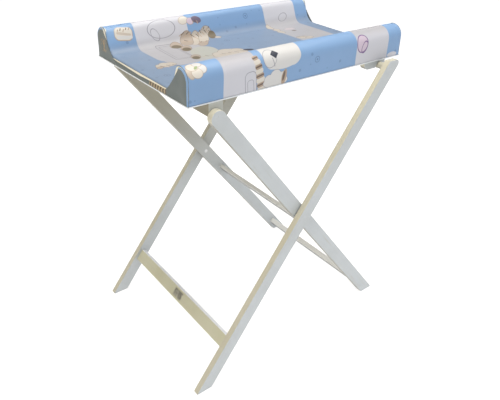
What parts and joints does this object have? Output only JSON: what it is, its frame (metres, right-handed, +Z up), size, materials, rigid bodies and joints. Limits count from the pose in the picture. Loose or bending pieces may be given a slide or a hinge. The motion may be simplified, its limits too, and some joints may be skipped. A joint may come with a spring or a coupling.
{
  "type": "folding changing table",
  "caption": "Free-standing changing table: a padded top with raised long sides, hinged on two crossed wooden leg frames that fold together.",
  "frame": {"origin": "on the floor, under the middle of the table", "axes": "+X along the padded top towards the hook end, +Y from front to back, +Z up"},
  "size_m": [0.8238, 0.586, 1.032],
  "materials": {
    "painted_wood": "white satin paint",
    "bare_wood": "raw",
    "fibreboard": "raw",
    "foam": "open cell",
    "printed_cover": "coated, wipe-clean",
    "backing_sheet": "coated",
    "steel_hardware": "zinc plated",
    "nylon": "matt",
    "printed_label": "matt print"
  },
  "bodies": {
    "inner_frame": {"inner_leg_front": "painted_wood", "inner_leg_rear": "painted_wood", "upper_inner_crossbar": "painted_wood", "lower_inner_crossbar": "painted_wood", "inner_crossbar_screws": "steel_hardware", "inner_crossbar_dowels": "bare_wood", "crossing_bolts": "steel_hardware", "crossing_spacers": "nylon", "crossing_nuts": "steel_hardware"},
    "outer_frame": {"outer_leg_front": "painted_wood", "outer_leg_rear": "painted_wood", "lower_outer_crossbar": "painted_wood", "top_crossbar": "painted_wood", "outer_crossbar_screws": "steel_hardware", "outer_crossbar_dowels": "bare_wood", "maker_label": "printed_label"},
    "board": {"pad_cover": "printed_cover", "cover_underside": "backing_sheet", "welded_seam": "backing_sheet", "mattress_foam": "foam", "front_side_foam": "foam", "rear_side_foam": "foam", "base_panel": "fibreboard", "pivot_rail": "painted_wood", "rail_inserts": "steel_hardware", "rail_screws": "steel_hardware", "hook_block_front": "painted_wood", "hook_block_rear": "painted_wood", "hook_screws": "steel_hardware", "pivot_bolts": "steel_hardware", "pivot_washers": "steel_hardware"}
  },
  "joints": [
    {"name": "frame_fold", "type": "hinge", "parent": "inner_frame", "child": "outer_frame", "pos_m": [-0.0079, 0, 0.49916], "axis": [0, -1, 0], "range_deg": [0, 70]},
    {"name": "board_tilt", "type": "hinge", "parent": "inner_frame", "child": "board", "pos_m": [-0.33, 0, 0.907], "axis": [0, -1, 0], "range_deg": [0, 126]}
  ],
  "couplings": [
    {"joint": "board_tilt", "follows": "frame_fold", "ratio": 1.8}
  ]
}
